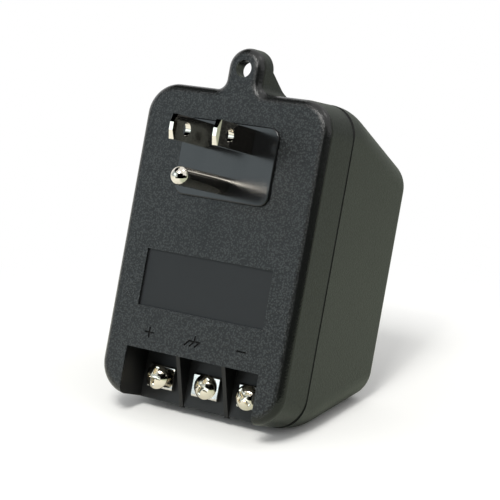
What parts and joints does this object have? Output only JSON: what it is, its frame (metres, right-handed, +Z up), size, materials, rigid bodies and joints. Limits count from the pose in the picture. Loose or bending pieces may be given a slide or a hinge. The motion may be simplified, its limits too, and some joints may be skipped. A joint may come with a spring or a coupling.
{
  "type": "plug-in power supply",
  "caption": "Black plug-in power supply with flat blades, a round ground pin, a screw lug, and a barriered pocket of screw terminals for low-voltage DC output.",
  "frame": {"origin": "middle of the flat sloped underside that the case rests on", "axes": "+Z up from the underside, -Y towards the plug face, which leans back by the underside's slope, +X to the right seen from the plug face"},
  "size_m": [0.056, 0.0718, 0.0944],
  "materials": {
    "case_plastic": "fine moulded grain",
    "carrier_plastic": "smooth satin",
    "nickel_plate": "bright nickel plate",
    "nickel_screw": "bright nickel plate",
    "terminal_brass": "plain",
    "zinc_steel": "zinc plated",
    "board_green": "solder mask",
    "capacitor_sleeve": "shrink sleeve",
    "component_black": "moulded epoxy",
    "fuse_yellow": "dipped",
    "core_steel": "varnished laminations",
    "bobbin_nylon": "moulded",
    "winding_copper": "enamelled wire",
    "tape_yellow": "polyester tape",
    "wire_white": "sleeving",
    "wire_black": "sleeving",
    "wire_green": "sleeving",
    "wire_red": "sleeving"
  },
  "bodies": {
    "case": {"front_cover": "case_plastic", "rear_housing": "case_plastic", "blade_carrier": "carrier_plastic", "neutral_blade": "nickel_plate", "line_blade": "nickel_plate", "ground_pin": "nickel_plate", "circuit_board": "board_green", "board_screws": "zinc_steel", "filter_capacitor": "capacitor_sleeve", "voltage_regulator": "component_black", "rectifier_diodes": "component_black", "output_fuse": "fuse_yellow", "transformer_core": "core_steel", "core_screws": "zinc_steel", "bobbin": "bobbin_nylon", "primary_winding": "winding_copper", "secondary_winding": "winding_copper", "winding_tape": "tape_yellow", "neutral_wire": "wire_white", "line_wire": "wire_black", "earth_wire": "wire_green", "secondary_wire_left": "wire_red", "secondary_wire_right": "wire_red", "positive_bar": "terminal_brass", "earth_bar": "terminal_brass", "negative_bar": "terminal_brass"},
    "positive_clamp": {"positive_clamp": "nickel_screw"},
    "positive_screw": {"positive_screw": "nickel_screw"},
    "earth_clamp": {"earth_clamp": "nickel_screw"},
    "earth_screw": {"earth_screw": "nickel_screw"},
    "negative_clamp": {"negative_clamp": "nickel_screw"},
    "negative_screw": {"negative_screw": "nickel_screw"}
  },
  "joints": [
    {"name": "positive_clamp_slide", "type": "slide", "parent": "case", "child": "positive_clamp", "axis": [0, -0.9553, 0.2957], "range_m": [0, 0.00159]},
    {"name": "positive_screw_turn", "type": "hinge", "parent": "positive_clamp", "child": "positive_screw", "pos_m": [-0.0139, -0.02358, 0.00911], "axis": [0, -0.9553, 0.2957], "range_deg": [0, 721]},
    {"name": "earth_clamp_slide", "type": "slide", "parent": "case", "child": "earth_clamp", "axis": [0, -0.9553, 0.2957], "range_m": [0, 0.00159]},
    {"name": "earth_screw_turn", "type": "hinge", "parent": "earth_clamp", "child": "earth_screw", "pos_m": [0, -0.02358, 0.00911], "axis": [0, -0.9553, 0.2957], "range_deg": [0, 721]},
    {"name": "negative_clamp_slide", "type": "slide", "parent": "case", "child": "negative_clamp", "axis": [0, -0.9553, 0.2957], "range_m": [0, 0.00159]},
    {"name": "negative_screw_turn", "type": "hinge", "parent": "negative_clamp", "child": "negative_screw", "pos_m": [0.0139, -0.02358, 0.00911], "axis": [0, -0.9553, 0.2957], "range_deg": [0, 721]}
  ],
  "couplings": [
    {"joint": "positive_screw_turn", "follows": "positive_clamp_slide", "rad_per_m": 7915.8},
    {"joint": "earth_screw_turn", "follows": "earth_clamp_slide", "rad_per_m": 7915.8},
    {"joint": "negative_screw_turn", "follows": "negative_clamp_slide", "rad_per_m": 7915.8}
  ]
}
